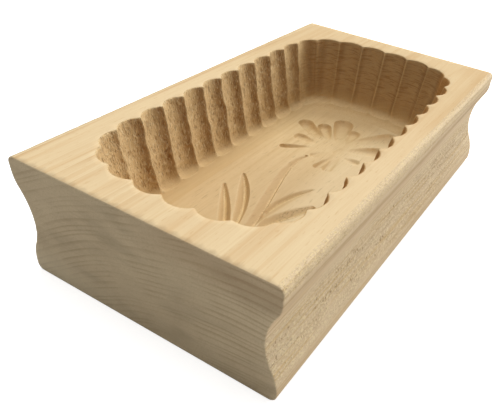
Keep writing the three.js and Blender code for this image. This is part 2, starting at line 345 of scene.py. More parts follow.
@dataclass(frozen=True)
class SideProfile:
    """The long sides' profile, from the rest face up: edge round, foot, cove, lip and edge round."""

    block_width: float = 100
    block_height: float = 45
    base_edge_radius: float = 2.5
    foot_radius: float = 20
    cove_depth: float = 5
    cove_radius: float = 22
    cove_height: float = 23
    lip_inset: float = 0.5
    lip_radius: float = 10
    top_edge_radius: float = 2.2
    row_step: float = 0.72
    fine_steps: int = 60

    def arcs(self) -> list[tuple[Arc, int]]:
        """Works out the arcs.

        Returns:
            The arcs in order, each with 1 where the wood is inside its circle and -1 where it is outside.
        """
        face = self.block_width / 2
        foot_reach = self.cove_radius + self.foot_radius
        lip_reach = self.cove_radius + self.lip_radius
        foot_angle = math.acos(1 - self.cove_depth / foot_reach)
        lip_angle = math.acos(1 - (self.cove_depth - self.lip_inset) / lip_reach)
        foot_height = self.cove_height - foot_reach * math.sin(foot_angle)
        lip_height = self.cove_height + lip_reach * math.sin(lip_angle)
        lip_face = face - self.lip_inset
        base_edge = (face - self.base_edge_radius, self.base_edge_radius)
        cove = (face - self.cove_depth + self.cove_radius, self.cove_height)
        top_edge = (lip_face - self.top_edge_radius, self.block_height - self.top_edge_radius)
        return [
            (Arc(base_edge, self.base_edge_radius, -QUARTER_TURN, 0), 1),
            (Arc((face - self.foot_radius, foot_height), self.foot_radius, 0, foot_angle), 1),
            (Arc(cove, self.cove_radius, math.pi + foot_angle, math.pi - lip_angle), -1),
            (Arc((lip_face - self.lip_radius, lip_height), self.lip_radius, -lip_angle, 0), 1),
            (Arc(top_edge, self.top_edge_radius, 0, QUARTER_TURN), 1),
        ]

    def rows(self) -> tuple[Array, Array]:
        """Lays out the profile at equal steps.

        Returns:
            The points as distance from the block's middle and height, and the directions out of the wood.
        """
        shares = np.linspace(0, 1, self.fine_steps + 1)
        samples = [(arc.sample(shares), sign) for arc, sign in self.arcs()]
        points = np.concatenate([found[0] for found, _ in samples])
        normals = np.concatenate([found[1] * sign for found, sign in samples])
        steps = np.hypot(*np.diff(points, axis=0).T)
        reach = np.concatenate([[0], np.cumsum(steps)])
        even = np.linspace(0, reach[-1], round(reach[-1] / self.row_step) + 1)
        points, normals = (
            stacked(*(np.interp(even, reach, values) for values in rows.T)) for rows in (points, normals)
        )
        return points, normals / np.linalg.norm(normals, axis=1, keepdims=True)


@dataclass(frozen=True)
class TornSides:
    """The damage that the moulding cutter left on the long sides where it cut against the grain.

    It is worst in a band under the top edge, and it fills the cove between two heights.
    """

    band_height: float = 41.5
    band_spread: float = 3.2
    band_depth: float = 0.28
    cove_start: Pair = (4, 9)
    cove_stop: Pair = (20, 26)
    cove_depth: float = 0.2
    wave_depth: float = 0.05
    flakes: tuple[Noise, ...] = (
        Noise(0.55, (3.2, 1.5, 1.5), 11),
        Noise(0.6, (1.6, 1.1, 1.1), 12),
        Noise(0.35, (26, 6, 6), 13),
    )
    waves: Noise = Noise(1, (38, 7, 7), 14)

    def depth(self, points: Array) -> Array:
        """Works out how deep the wood is torn.

        Args:
            points: Points with their coordinates along the last axis.

        Returns:
            A depth for each point.
        """
        height = points[..., 2]
        band = np.exp(-(((height - self.band_height) / self.band_spread) ** 2))
        cove = smooth_rise(height, *self.cove_start) * (1 - smooth_rise(height, *self.cove_stop))
        torn = np.clip(chance(points, self.flakes), 0, 1)
        wave = self.wave_depth * np.clip(self.waves.at(points), 0, 1)
        return torn * (self.band_depth * band + self.cove_depth * cove) + wave


@dataclass(frozen=True)
class RidgeLine:
    """The line on the top face that the flutes' ridges stand on, made of arcs that meet smoothly."""

    half_length: float = 77
    half_width: float = 37.6
    side_bow_radius: float = 1450
    end_bow_radius: float = 110
    corner_radius: float = 17.5
    flute_pitch: float = 11.5
    columns: int = 16
    crowding: float = 0.45

    def quarter(self) -> list[Arc]:
        """Works out the arcs of a quarter of the line.

        Returns:
            The arcs from the middle of the side at +Y round the corner to the end at +X.
        """
        side = np.array([0, self.half_width - self.side_bow_radius])
        end = np.array([self.half_length - self.end_bow_radius, 0])
        side_reach = self.side_bow_radius - self.corner_radius
        end_reach = self.end_bow_radius - self.corner_radius
        apart = np.linalg.norm(end - side)
        along = (apart**2 + side_reach**2 - end_reach**2) / (2 * apart)
        aside = math.sqrt(side_reach**2 - along**2)
        way = (end - side) / apart
        corner = side + way * along + np.array([way[1], -way[0]]) * aside
        side_stop = math.atan2(*(corner - side)[::-1])
        corner_stop = math.atan2(*(corner - end)[::-1])
        return [
            Arc(tuple(side), self.side_bow_radius, QUARTER_TURN, side_stop),
            Arc(tuple(corner), self.corner_radius, side_stop, corner_stop),
            Arc(tuple(end), self.end_bow_radius, corner_stop, 0),
        ]

    def columns_round(self) -> tuple[Array, Array]:
        """The ridge line at its columns, closer together near the ridges.

        Returns:
            The points from the end at +X towards +Y and all round, and the directions out of the cavity.
            Every point whose number is a multiple of the columns in a flute is a ridge.
        """
        arcs = self.quarter()
        ends = np.cumsum([arc.length for arc in arcs])
        flutes = round(ends[-1] / self.flute_pitch)
        shares = np.arange(self.columns) / self.columns
        crowded = (1 - np.cos(math.pi * shares)) / 2
        shares = blend(shares, crowded, self.crowding)
        distances = np.append((np.arange(flutes)[:, None] + shares).ravel(), flutes) * ends[-1] / flutes
        points = np.zeros((len(distances), 2))
        aways = np.zeros((len(distances), 2))
        starts = [0, *ends[:-1]]
        for arc, start in zip(arcs, starts):
            found = distances >= start
            points[found], aways[found] = arc.sample((distances[found] - start) / arc.length)
        return self.all_round(points), self.all_round(aways)

    @staticmethod
    def all_round(quarter: Array) -> Array:
        """A closed loop from a quarter that runs from the +Y side to the +X end."""
        back = quarter[::-1]
        return np.concatenate([back, quarter[1:] * (-1, 1), back[1:] * (-1, -1), quarter[1:-1] * (1, -1)])


@dataclass(frozen=True)
class Flutes:
    """The leaning round tools, one for each step between two ridges, that cut the flutes."""

    ridges: Array
    top: float
    floor: float
    lean: float
    radius: float = 7.7
    nose_radius: float = 3.5
    end_lift: float = 2.1
    ridge_softness: float = 0.5
    trace_steps: int = 60
    bottoms: Array = field(init=False)
    axes: Array = field(init=False)

    def __post_init__(self) -> None:
        """Sets up where each tool's lower end is and which way the tool points."""
        step = np.roll(self.ridges, -1, axis=0) - self.ridges
        half = np.linalg.norm(step, axis=1) / 2
        outward = stacked(step[:, 1], -step[:, 0]) / (2 * half[:, None])
        middle = self.ridges + step / 2
        behind = np.sqrt(self.radius**2 - half**2)
        below = (self.radius - self.nose_radius) * math.sin(self.lean)
        below += self.nose_radius * (1 - math.cos(self.lean))
        bottom = self.floor + self.end_lift + below
        reach = (bottom - self.top) * math.tan(self.lean) - behind
        foot = middle + outward * reach[:, None]
        object.__setattr__(self, "bottoms", raised(foot, bottom))
        object.__setattr__(self, "axes", raised(outward * math.sin(self.lean), math.cos(self.lean)))

    def distance(self, points: Array, owners: Array) -> Array:
        """How far points lie from the wood, below 0 in what the tools cut away.

        Args:
            points: Points, one row for each column of the wall.
            owners: The number of the flute that each column belongs to.

        Returns:
            The distance at each point, with soft ridges between neighbouring flutes.
        """
        nearest = np.full(points.shape[:-1], NO_CUT)
        for offset in (-1, 1, 0):
            tool = (owners + offset) % len(self.bottoms)
            from_bottom = points - self.bottoms[tool][:, None]
            axis = self.axes[tool][:, None]
            along = (from_bottom * axis).sum(axis=-1)
            beside = np.linalg.norm(from_bottom - along[..., None] * axis, axis=-1)
            side = beside - (self.radius - self.nose_radius)
            end = self.nose_radius - along
            round_part = np.hypot(np.maximum(side, 0), np.maximum(end, 0))
            tool_distance = np.minimum(np.maximum(side, end), 0) + round_part - self.nose_radius
            overlap = np.maximum(self.ridge_softness - np.abs(nearest - tool_distance), 0)
            nearest = np.minimum(nearest, tool_distance) - overlap**2 / (4 * self.ridge_softness)
        return nearest

    def exit_from(self, points: Array, ways: Array, owners: Array) -> Array:
        """How far each point has to move until it meets wood.

        Args:
            points: Points, one row for each column of the wall.
            ways: The direction that each point moves in.
            owners: The number of the flute that each column belongs to.

        Returns:
            A distance for each point, 0 where there is wood already.
        """
        travel = np.zeros(points.shape[:-1])
        for _ in range(self.trace_steps):
            travel -= np.minimum(self.distance(points + travel[..., None] * ways, owners), 0)
        return travel


@dataclass(frozen=True)
class Petal:
    """A round-ended scoop, deep at its tip and faint at its root, placed from the flower's heart."""

    tip: Pair
    root: Pair
    width: float
    depth: float
    root_depth: float = 0.15
    lift: float = 0.3

    def height(self, x: Array, y: Array) -> Array:
        """The height of the scoop's bottom over the floor.

        Args:
            x: Distances from the heart along the block.
            y: Distances from the heart across the block.

        Returns:
            A height for each point, below 0 inside the scoop.
        """
        radius = self.width / 2
        tip = np.array(self.tip)
        way = np.array(self.root) - tip
        length = np.linalg.norm(way)
        way = way / length
        nose = tip + way * radius
        along = (x - nose[0]) * way[0] + (y - nose[1]) * way[1]
        on_axis = np.clip(along, 0, length - radius)
        beside = np.hypot(x - nose[0] - way[0] * on_axis, y - nose[1] - way[1] * on_axis)
        axis_height = self.lift + (self.depth - self.root_depth) * on_axis / (length - radius)
        hollow = np.sqrt(np.clip(1 - (beside / radius) ** 2, 0, 1))
        inside = axis_height - (self.lift + self.depth) * hollow
        return np.where(beside < radius, inside, axis_height + (beside - radius))


@dataclass(frozen=True)
class Groove:
    """A V-groove along a curve, placed from the flower's heart.

    Its keel is set over to the right of its middle, or to the left where keel_aside is below 0.
    """

    bends: tuple[Pair, ...]
    width: float
    depth: float
    widest: float
    tip_share: float
    keel_aside: float
    keel_start: float = 0.1
    over: float = 1.0
    steps: int = 240
    end_slope: float = 2.5

    def line(self) -> tuple[Array, Array, Array]:
        """Lays out the groove's centre line.

        Returns:
            Shares of the curve, the points there and the directions along it.
        """
        shares = np.linspace(0, 1, self.steps + 1)
        order = len(self.bends) - 1
        points = np.zeros((len(shares), 2))
        for number, bend in enumerate(self.bends):
            weight = math.comb(order, number) * shares**number * (1 - shares) ** (order - number)
            points += weight[:, None] * np.array(bend)
        along = np.gradient(points, axis=0)
        return shares, points, along / np.linalg.norm(along, axis=1, keepdims=True)

    def keel(self, shares: Array) -> Array:
        """Works out how deep the keel lies.

        Args:
            shares: Shares of the groove's length.

        Returns:
            A depth for each share.
        """
        growing = np.sin(QUARTER_TURN * np.clip(shares / self.widest, 0, 1))
        past = np.clip((shares - self.widest) / (1 - self.widest), 0, 1)
        return self.depth * growing * blend(1, self.tip_share, past**2) - self.keel_start * (1 - shares)

    def half_width(self, keel: Array) -> Array:
        """Half of the groove's width where its keel has a depth."""
        return (keel + self.over) * self.width / 2 / self.depth

    def keel_line(self) -> Array:
        """Lays out the keel.

        Returns:
            Points along it.
        """
        shares, points, along = self.line()
        left = stacked(-along[:, 1], along[:, 0])
        return points - left * (self.keel_aside * self.half_width(self.keel(shares)))[:, None]

    def height(self, x: Array, y: Array) -> Array:
        """The height of the groove's sides over the floor.

        Args:
            x: Distances from the heart along the block.
            y: Distances from the heart across the block.

        Returns:
            A height for each point, below 0 inside the groove.
        """
        shares, points, along = self.line()
        apart = np.hypot(x[:, None] - points[:, 0], y[:, None] - points[:, 1])
        nearest = apart.argmin(axis=1)
        off = stacked(x, y) - points[nearest]
        way = along[nearest]
        left = way[:, 0] * off[:, 1] - way[:, 1] * off[:, 0]
        keel = self.keel(shares[nearest])
        half_width = self.half_width(keel)
        from_keel = left + self.keel_aside * half_width
        room = np.where(from_keel > 0, 1 + self.keel_aside, 1 - self.keel_aside) * half_width
        beyond = np.abs((off * way).sum(axis=1)) * ((nearest == 0) | (nearest == self.steps))
        return np.abs(from_keel) / room * (keel + self.over) - keel + self.end_slope * beyond


def leaf(foot: Pair, tip: Pair, bow: float, *cut: float) -> Groove:
    """Shapes a leaf: a groove that bows to its left by a rise.

    Args:
        foot: Where it starts, from the flower's heart.
        tip: Where it ends.
        bow: The rise of its bow, to its right where that is below 0.
        cut: The groove's width, depth, widest place, share of its depth at the tip and keel's offset.

    Returns:
        The groove.
    """
    start = np.array(foot)
    chord = np.array(tip) - start
    left = np.array([-chord[1], chord[0]]) / np.linalg.norm(chord)
    pull = start + chord / 2 + left * 2 * bow
    return Groove((foot, tuple(pull), tip), *cut)


@dataclass(frozen=True)
class Flower:
    """The carving in the floor: heart, petals, stem with a pit at its tip, and leaves."""

    heart: Pair
    heart_width: float = 8
    heart_depth: float = 0.4
    pit_radius: float = 0.75
    pit_depth: float = 1.2
    stem: Groove = Groove(((-84, -1.8), (-70.9, -6.2), (-23.7, 17), (-12.5, 8)), 4.8, 1.9, 0.4, 0.25, 0.5)
    petals: tuple[Petal, ...] = (
        Petal((17.2, 27.4), (5, 10.8), 7.4, 2.4),
        Petal((20, 17.4), (6.8, 7.7), 6.6, 2.2),
        Petal((30.1, 10.9), (8.2, 2.7), 9.5, 2.7),
        Petal((23.2, 1.3), (8.3, -0.3), 6.2, 1.7),
        Petal((31, -17.5), (11, -2.5), 9.6, 2.8),
        Petal((13.5, -19), (3, -4.8), 8.4, 2.7),
        Petal((-3.6, -13.8), (-4, -6.6), 4.6, 1.4),
        Petal((-19, -4.8), (-5.5, -4), 4.8, 1.1),
        Petal((-19.2, 0.1), (-7, -1.7), 3.8, 1.5),
        Petal((-12, 6.6), (-5.5, 3.9), 3.8, 0.8),
        Petal((-12.5, 22.4), (-4.5, 10.4), 3.8, 1.8),
        Petal((1.4, 22.4), (0.4, 11.2), 6, 1.4),
    )
    leaves: tuple[Groove, ...] = (
        leaf((-84, 0.5), (-53.4, 22.3), -0.7, 4.8, 2.9, 0.4, 0.3, 0.05),
        leaf((-85, -0.8), (-42.4, 20.8), -2.7, 5, 2.9, 0.65, 0.3, 0.2),
        leaf((-70, -4.2), (-34.7, -8.8), 3.2, 4.9, 1.6, 0.5, 0.3, -0.3),
        leaf((-72, -4.6), (-45.5, -15.4), 1.4, 6, 2.2, 0.4, 0.6, -0.1),
    )
    crease_step: float = 0.3
    crease_gap: float = 0.42

    @property
    def grooves(self) -> tuple[Groove, ...]:
        """The stem and the leaves."""
        return (self.stem, *self.leaves)

    def heights(self, points: Array) -> Array:
        """Works out how high each cut's surface lies over the floor.

        Args:
            points: Flat points in the block's own frame.

        Returns:
            One row for each cut, with a height for each point.
        """
        x, y = (points - np.array(self.heart)).T
        sphere = ((self.heart_width / 2) ** 2 + self.heart_depth**2) / (2 * self.heart_depth)
        heart = sphere - self.heart_depth - np.sqrt(np.clip(sphere**2 - x**2 - y**2, 0, None))
        pit_x, pit_y = self.stem.bends[-1]
        pit = self.pit_depth * (((x - pit_x) ** 2 + (y - pit_y) ** 2) / self.pit_radius**2 - 1)
        return np.stack([heart, pit, *(cut.height(x, y) for cut in (*self.grooves, *self.petals))])

    def cut(self, points: Array) -> Array:
        """The height of the carved floor under points, or a great one where nothing is carved."""
        lowest = self.heights(points).min(axis=0)
        return np.where(lowest < 0, lowest, NO_CUT)

    def creases(self, low: Array, high: Array) -> Array:
        """Finds points on the keels, on the cuts' outlines and where two cuts meet.

        Args:
            low: The lower corner of the carved field.
            high: The upper corner of the carved field.

        Returns:
            The points, no two of them close together.
        """
        found = [groove.keel_line() + np.array(self.heart) for groove in self.grooves]
        x, y = (np.arange(low[axis], high[axis], self.crease_step) for axis in (0, 1))
        places = stacked(x[:, None], y)
        heights = self.heights(places.reshape(-1, 2)).reshape(-1, len(x), len(y))
        heights = np.concatenate([heights, np.zeros((1, len(x), len(y)))])
        lowest = heights.argmin(axis=0)
        for axis in (0, 1):
            here = np.argwhere(np.diff(lowest, axis=axis))
            after = here + np.eye(2, dtype=int)[axis]
            one, two = lowest[tuple(here.T)], lowest[tuple(after.T)]
            gap_here, gap_after = (heights[one, *at.T] - heights[two, *at.T] for at in (here, after))
            share = gap_here / (gap_here - gap_after)
            found.append(blend(places[tuple(here.T)], places[tuple(after.T)], share[:, None]))
        return thinned(np.concatenate(found), self.crease_gap)


@dataclass(frozen=True)
class TornWalls:
    """How the flutes' tools left the walls: fuzzy and chipped, with nicked ridges that wander a little.

    A pair of numbers says where a trait starts and where it is full, or where it starts to end and is gone:
    along the block, inwards from the plain wall, down from the rim, or past the flutes' lower ends.
    """

    fuzz_depth: float = 0.14
    chip_depth: float = 0.7
    chip_level: float = 0.62
    nick_depth: float = 1.15
    wander: float = 0.5
    calm_share: float = 0.3
    calm_end: Pair = (54, 72)
    rim_share: float = 0.4
    rim_reach: float = 1.2
    hollow: Pair = (0.1, 1)
    ridge_width: float = 0.9
    nick_start: Pair = (0.4, 4)
    nick_stop: Pair = (-7, -2)
    wander_start: Pair = (0.4, 5)
    wander_stop: Pair = (9, 3)
    fuzz: tuple[Noise, ...] = (Noise(1, (1.5, 1.2, 1.3), 21), Noise(0.7, (2.6, 2.2, 1), 22))
    chips: tuple[Noise, ...] = (Noise(1, (3.4, 3.4, 4.6), 23), Noise(0.3, (1.3, 1.3, 2), 24))
    lumps: tuple[Noise, ...] = (Noise(1, (3, 3, 2.6), 25), Noise(0.6, (1.4, 1.4, 1.5), 26))
    drift: tuple[Noise, ...] = (Noise(1, (9, 9, 4.6), 27), Noise(0.5, (3.4, 3.4, 2.1), 28))

    def nearness(self, points: Array) -> Array:
        """How rough the walls are: torn along the sides and at the near end, calm at the far end."""
        return blend(self.calm_share, 1, 1 - smooth_rise(points[..., 0], *self.calm_end))

    def depth(self, points: Array, travel: Array, reach: Array, past: Array) -> Array:
        """Works out how deep the walls are torn, chipped and nicked.

        Args:
            points: The walls' points.
            travel: How far each lies from the plain wall.
            reach: How far each lies from the rim, down the plain wall.
            past: How far each lies past its flute's lower end.

        Returns:
            A depth for each point.
        """
        near = self.nearness(points)
        chips = np.clip(chance(points, self.chips) - self.chip_level, 0, 1)
        torn = self.fuzz_depth * near * chance(points, self.fuzz) + self.chip_depth * near * chips
        torn = torn * smooth_rise(travel, *self.hollow)
        torn = torn * blend(self.rim_share, 1, smooth_rise(reach, 0, self.rim_reach))
        nicks = self.nick_depth * near * np.clip(chance(points, self.lumps), 0, 1)
        nicked = smooth_rise(reach, *self.nick_start) * (1 - smooth_rise(travel, 0, self.ridge_width))
        return torn + nicks * (nicked * (1 - smooth_rise(past, *self.nick_stop)))

    def sway(self, points: Array, reach: Array, whole_reach: float) -> Array:
        """Works out how far the flutes wander to one side, held at the rim and at the foot.

        Args:
            points: The walls' points.
            reach: How far each lies from the rim, down the plain wall.
            whole_reach: The length of the plain wall's profile.

        Returns:
            A distance for each point.
        """
        stop = (whole_reach - before for before in self.wander_stop)
        sway = self.wander * self.nearness(points) * chance(points, self.drift)
        return sway * smooth_rise(reach, *self.wander_start) * (1 - smooth_rise(reach, *stop))


@dataclass(frozen=True)
class Cavity:
    """The cavity: drafted and fluted walls, a rounded foot and the carved floor."""

    block_height: float = 45
    depth: float = 31
    draft: float = math.radians(11)
    floor_fillet: float = 5
    web_inset: float = 0.8
    rim_round: float = 0.35
    heart_from_end: float = 40.5
    heart_offset: float = -3
    turn_share: float = 0.25
    rim_rows: tuple[float, ...] = (0, 0.3, 1)
    wall_rows: int = 38
    foot_rows: int = 10
    foot_crowding: float = 1.35
    search_rows: int = 160
    bisections: int = 14
    floor_step: float = 0.56
    floor_gap_share: float = 0.7
    floor_ripple: float = 0.035
    ripple_start: float = 3
    ripples: tuple[Noise, ...] = (Noise(1, (9, 4, 3), 31), Noise(0.6, (2.4, 1.6, 2), 32))
    torn: TornWalls = TornWalls()
    ridge_line: RidgeLine = RidgeLine()

    @property
    def floor(self) -> float:
        """The floor's height over the rest face."""
        return self.block_height - self.depth

    @property
    def wall_length(self) -> float:
        """The length of the plain wall's straight part, down to the rounded foot."""
        return (self.depth - self.floor_fillet * (1 - math.sin(self.draft))) / math.cos(self.draft)

    @property
    def reach(self) -> float:
        """The length of the plain wall's whole profile."""
        return self.wall_length + self.floor_fillet * (QUARTER_TURN - self.draft)

    @property
    def flower(self) -> Flower:
        """The carving, placed from the foot of the end wall at +X."""
        foot = self.ridge_line.half_length - self.depth * math.tan(self.draft)
        return Flower((foot - self.heart_from_end, self.heart_offset))

    def plain_wall(self, reach: Array) -> tuple[Array, Array]:
        """Lays out the wall as it is without the flutes.

        Args:
            reach: Distances along its profile, one row for each column of the ridge line.

        Returns:
            The points, and the ways into the wood there.
        """
        line, outward = self.ridge_line.columns_round()
        on_wall = np.minimum(reach, self.wall_length)
        angle = self.draft + np.maximum(reach - self.wall_length, 0) / self.floor_fillet
        past = angle > self.draft
        inset = self.web_inset + on_wall * math.sin(self.draft)
        inset += self.floor_fillet * (math.cos(self.draft) - np.cos(angle)) * past
        depth = on_wall * math.cos(self.draft)
        depth += self.floor_fillet * (np.sin(angle) - math.sin(self.draft)) * past
        near_rim = self.draft * smooth_rise(reach, 0, self.wall_length * self.turn_share)
        turned = np.where(past, angle, near_rim)
        flat = line[:, None] - outward[:, None] * inset[..., None]
        ways = raised(outward[:, None] * np.cos(turned)[..., None], -np.sin(turned))
        return raised(flat, self.block_height - depth), ways

    def flute_ends(self, flutes: Flutes, owners: Array) -> Array:
        """Finds how far down the plain wall each column leaves its flute.

        Args:
            flutes: The tools that cut the flutes.
            owners: The number of the flute that each column belongs to.

        Returns:
            A distance for each column.
        """
        search = np.linspace(0, self.reach, self.search_rows)
        points, _ = self.plain_wall(np.tile(search, (len(owners), 1)))
        cut = flutes.distance(points, owners) < 0
        last = cut.shape[1] - 1 - cut[:, ::-1].argmax(axis=1)
        low, high = search[last], search[np.minimum(last + 1, self.search_rows - 1)]
        for _ in range(self.bisections):
            middle = (low + high) / 2
            points, _ = self.plain_wall(middle[:, None])
            inside = flutes.distance(points, owners)[:, 0] < 0
            low, high = np.where(inside, middle, low), np.where(inside, high, middle)
        return low

    def wall(self) -> Array:
        """Cuts the flutes into the plain wall and wears it.

        Returns:
            The wall's points: one row for each column, from the rim down to the foot.
        """
        line, outward = self.ridge_line.columns_round()
        columns = self.ridge_line.columns
        owners = np.arange(len(line)) // columns
        flutes = Flutes(line[::columns], self.block_height, self.floor, self.draft)
        ends = self.flute_ends(flutes, owners)[:, None]
        rim = np.tile(np.array(self.rim_rows) * self.rim_round, (len(line), 1))
        down = 1 - (1 - np.linspace(0, 1, self.wall_rows)[1:]) ** self.foot_crowding
        fluted = blend(self.rim_round, ends, down)
        below = blend(ends, self.reach, np.linspace(0, 1, self.foot_rows)[1:])
        reach = np.concatenate([rim, fluted, below], axis=1)
        points, ways = self.plain_wall(reach)
        travel = flutes.exit_from(points, ways, owners)
        rounding = np.maximum(self.rim_round - reach, 0)
        travel += self.rim_round - np.sqrt(self.rim_round**2 - rounding**2)
        points = points + travel[..., None] * ways
        depth = self.torn.depth(points, travel, reach, reach - ends)
        sway = self.torn.sway(points, reach, self.reach)
        level = np.where((reach < self.rim_round)[..., None], ways * (1, 1, 0), ways)
        sideways = stacked(-outward[:, 1], outward[:, 0], 0.0)[:, None]
        points += level * depth[..., None] + sideways * sway[..., None]
        carved = self.floor + self.flower.cut(points[..., :2].reshape(-1, 2)).reshape(reach.shape)
        points[..., 2] = np.minimum(points[..., 2], carved)
        return points

    def patches(self, wall: Array) -> list[Patch]:
        """Makes the cavity's surface.

        Args:
            wall: The fluted wall's points.

        Returns:
            The walls and the carved floor.
        """
        rows = wall.transpose(1, 0, 2)
        walls = Patch(rows.reshape(-1, 3), grid_faces(*rows.shape[:2], closed=True), Finish.FLUTED)
        foot = wall[:, -1]
        border = foot[:, :2]
        creases = self.flower.creases(border.min(axis=0), border.max(axis=0))
        gap = self.floor_step * self.floor_gap_share
        flat, faces = fill_region([border], self.floor_step, gap, creases)
        height = np.minimum(self.flower.cut(flat), 0)
        calm = smooth_rise(distances_to(flat, border), 0, self.ripple_start)
        ripple = self.floor_ripple * chance(raised(flat, height), self.ripples) * calm
        points = raised(flat, self.floor + height + ripple)
        points[: len(foot)] = foot
        return [walls, Patch(points, faces, Finish.CARVED)]


@dataclass(frozen=True)
class CarvedBlock:
    """The mould's block: planed top, sawn ends, moulded long sides and the cavity, in one closed mesh."""

    length: float = 180
    edge_ease: float = 0.3
    column_step: float = 0.75
    end_step: float = 1.6
    top_step: float = 2.4
    top_gap: float = 0.8
    crease_angle: float = math.radians(50)
    profile: SideProfile = SideProfile()
    torn: TornSides = TornSides()
    cavity: Cavity = Cavity()

    def side(self, sign: int) -> Array:
        """Lays out one long side.

        Args:
            sign: 1 for the side at +Y and -1 for the one at -Y.

        Returns:
            Its points, one row for each step of the profile from the rest face up.
        """
        points, normals = self.profile.rows()
        half = self.length / 2 - self.edge_ease
        x = np.linspace(-half, half, round(2 * half / self.column_step) + 1)
        surface = stacked(x, points[:, :1] * sign, points[:, 1:])
        depth = self.torn.depth(surface)
        depth[[0, -1]] = 0
        inward = stacked(0.0, -normals[:, 0] * sign, -normals[:, 1])
        return surface + depth[..., None] * inward[:, None]

    def end(self, right: Array, left: Array, sign: int) -> list[Patch]:
        """Makes one sawn end with its eased edge.

        Args:
            right: The points of the side at +Y.
            left: The points of the side at -Y.
            sign: 1 for the end at +X and -1 for the one at -X.

        Returns:
            The eased edge and the end face.
        """
        column = -1 if sign > 0 else 0
        stop = right[0, column, 0]
        _, normals = self.profile.rows()
        top = self.across(right[-1, 0, 1], -right[-1, 0, 1])
        base = self.across(left[0, 0, 1], right[0, 0, 1])
        base_edge, top_edge = stacked(stop, base, 0.0), stacked(stop, top, self.profile.block_height)
        loop = np.concatenate([base_edge, right[:, column], top_edge, left[::-1, column]])
        down, up = np.tile([0.0, -1.0], (len(base), 1)), np.tile([0.0, 1.0], (len(top), 1))
        outward = np.concatenate([down, normals, up, normals[::-1] * (-1, 1)])
        outline = loop[:, 1:] - outward * self.edge_ease
        edge = np.concatenate([loop, self.upright(outline, sign)])
        flat, faces = fill_region([outline], self.end_step, self.edge_ease)
        return [
            Patch(edge, grid_faces(2, len(loop), closed=True), Finish.SAWN),
            Patch(self.upright(flat, sign), faces, Finish.SAWN),
        ]

    def upright(self, flat: Array, sign: int) -> Array:
        """Flat points, set in the plane of the end at +X or -X."""
        return stacked(sign * self.length / 2, *flat.T)

    def across(self, start: float, stop: float) -> Array:
        """Steps along a straight edge between two places, both left out."""
        count = round(abs(stop - start) / self.end_step)
        return np.linspace(start, stop, count + 1)[1:-1]

    def level_face(self, right: Array, left: Array, row: int, holes: list[Array]) -> Patch:
        """Makes the top face or the rest face.

        Args:
            right: The points of the side at +Y.
            left: The points of the side at -Y.
            row: The row of the sides that borders the face.
            holes: The loops that are left open in it.

        Returns:
            The face.
        """
        width = right[row, 0, 1]
        between = self.across(-width, width)
        stop = right[row, -1, 0]
        far, near = stacked(stop, between), stacked(-stop, between[::-1])
        outline = np.concatenate([left[row, :, :2], far, right[row, ::-1, :2], near])
        flat, faces = fill_region([outline, *holes], self.top_step, self.top_gap)
        return Patch(raised(flat, right[row, 0, 2]), faces, Finish.PLANED)

    def patches(self) -> list[Patch]:
        """Makes the block's surface.

        Returns:
            All its parts, which meet at shared points.
        """
        right, left = self.side(1), self.side(-1)
        wall = self.cavity.wall()
        rim = wall[:, 0, :2]
        faces = grid_faces(*right.shape[:2])
        return [
            Patch(right.reshape(-1, 3), faces, Finish.MOULDED),
            Patch(left.reshape(-1, 3), faces, Finish.MOULDED),
            *self.end(right, left, 1),
            *self.end(right, left, -1),
            self.level_face(right, left, -1, [rim]),
            self.level_face(right, left, 0, []),
            *self.cavity.patches(wall),
        ]

    def build(self) -> bpy.types.Object:
        """Welds the parts of the surface into one closed mesh.

        Returns:
            The block, whose faces carry the material numbers of their finishes.
        """
        mesh = bpy.data.meshes.new("carved_block")
        welded = bmesh.new()
        for patch in self.patches():
            corners = [welded.verts.new(point) for point in (patch.points * MM).tolist()]
            for numbers in patch.faces.tolist():
                face = welded.faces.new([corners[n] for n in numbers])
                face.material_index = patch.finish.value
                face.smooth = True
        bmesh.ops.remove_doubles(welded, verts=welded.verts, dist=WELD_DISTANCE * MM)
        bmesh.ops.recalc_face_normals(welded, faces=welded.faces)
        open_edges = sum(not edge.is_manifold for edge in welded.edges)
        LOG.info("carved_block: %d faces, %d open edges", len(welded.faces), open_edges)
        welded.to_mesh(mesh)
        welded.free()
        mesh.set_sharp_from_angle(angle=self.crease_angle)
        block = bpy.data.objects.new("carved_block", mesh)
        bpy.context.scene.collection.objects.link(block)
        return block


class Recipe:
    """A node tree while its nodes are being added."""

    def __init__(self, owner: bpy.types.Material | bpy.types.World) -> None:
        """Starts with an empty tree.

        Args:
            owner: The material or the world that the nodes belong to.
        """
        owner.use_nodes = True
        self.tree = owner.node_tree
        self.tree.nodes.clear()

    def add(
        self, kind: str, inputs: dict | None = None, out: str | int = 0, **settings: object
    ) -> Socket | None:
        """Adds a node with its settings and links.

        Args:
            kind: The node's type, without the word that all shader nodes start with.
            inputs: For each input, by name or number, its value or the socket that feeds it.
            out: The output that is wanted, by name or number.
            settings: The node's own settings.

        Returns:
            The output's socket, or nothing where the node has no outputs.
        """
        node = self.tree.nodes.new("ShaderNode" + kind)
        for name, value in settings.items():
            setattr(node, name, value)
        for key, value in (inputs or {}).items():
            if isinstance(value, Socket):
                self.tree.links.new(value, node.inputs[key])
            else:
                node.inputs[key].default_value = value
        return node.outputs[out] if node.outputs else None

    def pattern(self, place: Socket, cell: Triple, detail: float = 2) -> Socket:
        """Adds a soft chance pattern in cells of a size in millimetres, with some finer layers in it."""
        shrunk = self.add("VectorMath", {0: place, 1: cell}, operation="DIVIDE")
        return self.add("TexNoise", {"Vector": shrunk, "Scale": 1.0, "Detail": detail})

    def tinted(self, colour: Socket, tint: str, where: Socket, strength: float) -> Socket:
        """Lays a tint, in six hex digits, over a colour: up to a strength where a value is 1."""
        share = self.add("Math", {0: where, 1: strength}, operation="MULTIPLY")
        return self.add("Mix", {0: share, 6: colour, 7: linear_colour(tint)}, 2, data_type="RGBA")


